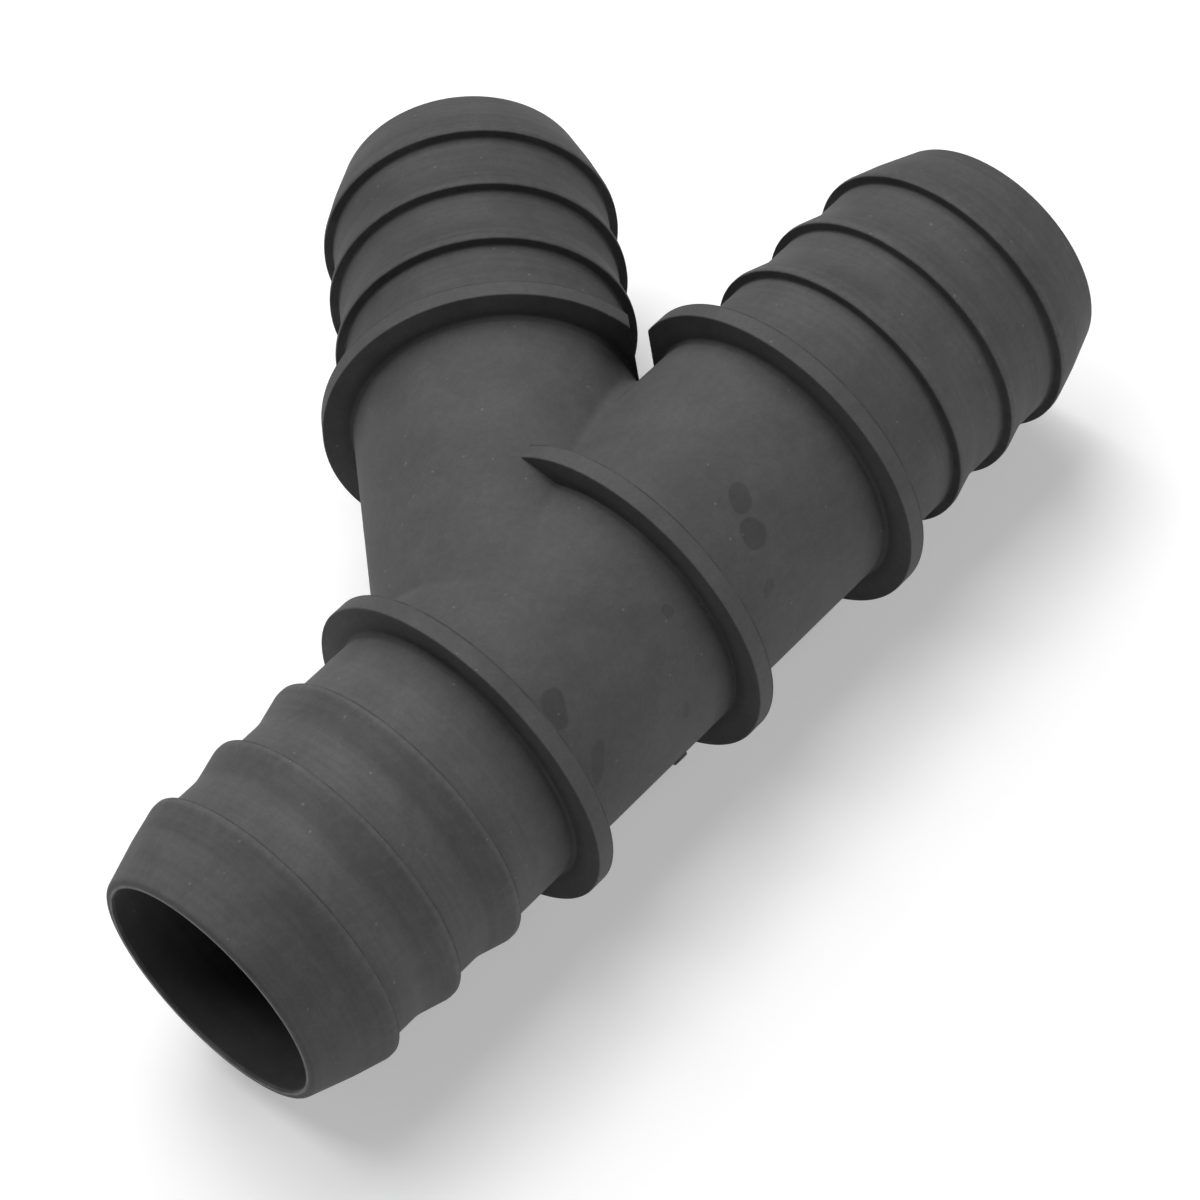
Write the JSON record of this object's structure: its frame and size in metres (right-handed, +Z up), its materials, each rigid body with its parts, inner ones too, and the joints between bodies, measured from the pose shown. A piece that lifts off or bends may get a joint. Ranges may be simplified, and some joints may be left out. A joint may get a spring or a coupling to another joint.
{
  "type": "hose y connector",
  "caption": "Barbed Y connector for heater hose: a straight run with a slanting branch, each end a barbed spigot behind a hose-stop collar.",
  "frame": {"origin": "where the axis of the straight run and the axis of the branch cross", "axes": "+X along the straight run from the inlet to the outlet, the branch in the XY plane towards +X and +Y, +Z up as the part lies on its collars"},
  "size_m": [0.0969, 0.0671, 0.0302],
  "materials": {
    "moulding": "dull dark grey glass-filled nylon, as moulded"
  },
  "bodies": {
    "root": {"connector": "moulding"}
  },
  "joints": []
}
